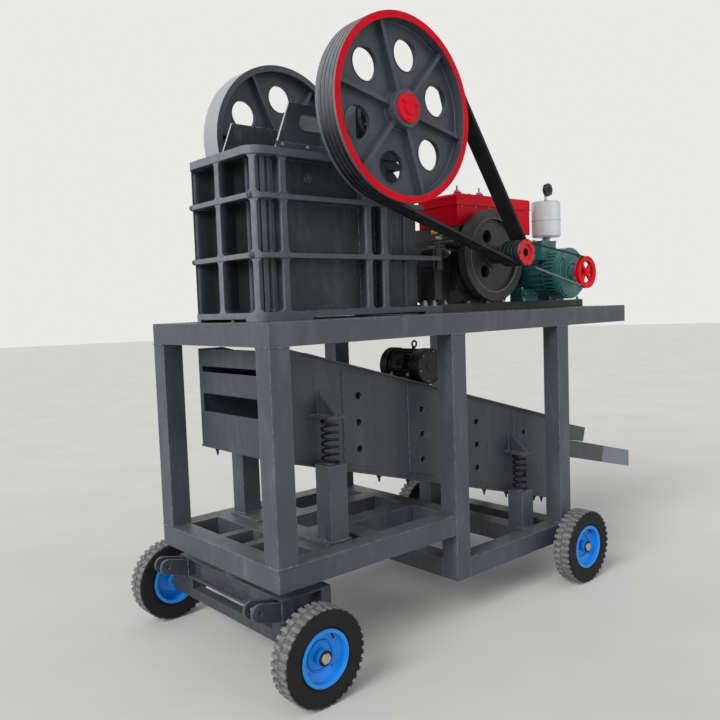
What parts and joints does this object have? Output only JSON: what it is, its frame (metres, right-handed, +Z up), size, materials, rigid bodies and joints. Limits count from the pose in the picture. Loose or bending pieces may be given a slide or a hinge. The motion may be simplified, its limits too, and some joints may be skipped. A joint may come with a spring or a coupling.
{
  "type": "mobile jaw crusher station",
  "caption": "Jaw crusher, diesel engine and generator on a two-level steel tube frame with small wheels and a sprung vibrating screen box below.",
  "frame": {"origin": "ground level under the middle of the machine's length and width", "axes": "+X from the crusher end towards the discharge trough, -Y the drive side with the grooved sheave, +Z up"},
  "size_m": [3.262, 1.3546, 2.9039],
  "materials": {
    "frame_grey": "satin",
    "cast_grey": "satin",
    "bright_red": "gloss",
    "rim_blue": "gloss",
    "tyre_rubber": "matt",
    "belt_rubber": "matt",
    "engine_black": "satin",
    "machine_green": "gloss",
    "bare_steel": "worn",
    "cast_steel": "rough",
    "silver_paint": "satin"
  },
  "bodies": {
    "station": {"deck_frame": "frame_grey", "frame_posts": "frame_grey", "lower_front_frame": "frame_grey", "lower_rear_frame": "frame_grey", "rear_axle": "frame_grey", "spring_posts": "frame_grey", "upper_turntable": "frame_grey", "crusher_body": "cast_grey", "fixed_jaw_plate": "cast_steel", "cheek_plates": "cast_steel", "swing_jaw": "cast_steel", "swing_jaw_plate": "cast_steel", "toggle_plate": "cast_steel", "bearing_housings": "cast_grey", "guard_plates": "cast_grey", "drive_belts": "belt_rubber", "machine_rails": "engine_black", "engine_block": "engine_black", "engine_tank": "bright_red", "air_filter": "silver_paint", "generator_body": "machine_green", "front_springs": "engine_black", "rear_springs": "engine_black"},
    "bogie": {"bogie_frame": "frame_grey", "front_axle": "frame_grey", "drawbar_ears": "frame_grey"},
    "crusher_rotor": {"crusher_shaft": "bare_steel", "drive_sheave": "cast_grey", "sheave_hub_cap": "bright_red", "flywheel": "cast_grey"},
    "engine_rotor": {"engine_flywheel": "engine_black", "engine_pulley": "bright_red"},
    "generator_rotor": {"generator_pulley": "bright_red"},
    "screen": {"screen_box": "frame_grey", "screen_decks": "bare_steel", "discharge_chutes": "frame_grey", "vibration_motor": "engine_black"},
    "front_near_wheel": {"front_near_tyre": "tyre_rubber", "front_near_rim": "rim_blue"},
    "front_far_wheel": {"front_far_tyre": "tyre_rubber", "front_far_rim": "rim_blue"},
    "rear_near_wheel": {"rear_near_tyre": "tyre_rubber", "rear_near_rim": "rim_blue"},
    "rear_far_wheel": {"rear_far_tyre": "tyre_rubber", "rear_far_rim": "rim_blue"}
  },
  "joints": [
    {"name": "bogie_steer", "type": "hinge", "parent": "station", "child": "bogie", "pos_m": [-1.349, 0, 0.385], "axis": [0, 0, 1], "range_deg": [-35, 35]},
    {"name": "front_near_roll", "type": "hinge", "parent": "bogie", "child": "front_near_wheel", "pos_m": [-1.429, -0.627, 0.202], "axis": [0, 1, 0], "continuous": true},
    {"name": "front_far_roll", "type": "hinge", "parent": "bogie", "child": "front_far_wheel", "pos_m": [-1.429, 0.627, 0.202], "axis": [0, 1, 0], "continuous": true},
    {"name": "rear_near_roll", "type": "hinge", "parent": "station", "child": "rear_near_wheel", "pos_m": [0.466, -0.627, 0.202], "axis": [0, 1, 0], "continuous": true},
    {"name": "rear_far_roll", "type": "hinge", "parent": "station", "child": "rear_far_wheel", "pos_m": [0.466, 0.627, 0.202], "axis": [0, 1, 0], "continuous": true},
    {"name": "crusher_spin", "type": "hinge", "parent": "station", "child": "crusher_rotor", "pos_m": [-0.739, 0, 2.481], "axis": [0, 1, 0], "continuous": true},
    {"name": "engine_spin", "type": "hinge", "parent": "station", "child": "engine_rotor", "pos_m": [0.126, -0.336, 1.853], "axis": [0, 1, 0], "continuous": true},
    {"name": "generator_spin", "type": "hinge", "parent": "station", "child": "generator_rotor", "pos_m": [0.703, -0.532, 1.75], "axis": [0, 1, 0], "continuous": true},
    {"name": "screen_throw", "type": "slide", "parent": "station", "child": "screen", "axis": [0, 0, 1], "range_m": [-0.006, 0.006], "stiffness_N_per_m": 400000, "springref_m": 0.0093, "deforming": ["front_springs", "rear_springs"]}
  ],
  "couplings": [
    {"joint": "engine_spin", "follows": "crusher_spin", "ratio": 6.1159},
    {"joint": "generator_spin", "follows": "crusher_spin", "ratio": 4.3293}
  ]
}
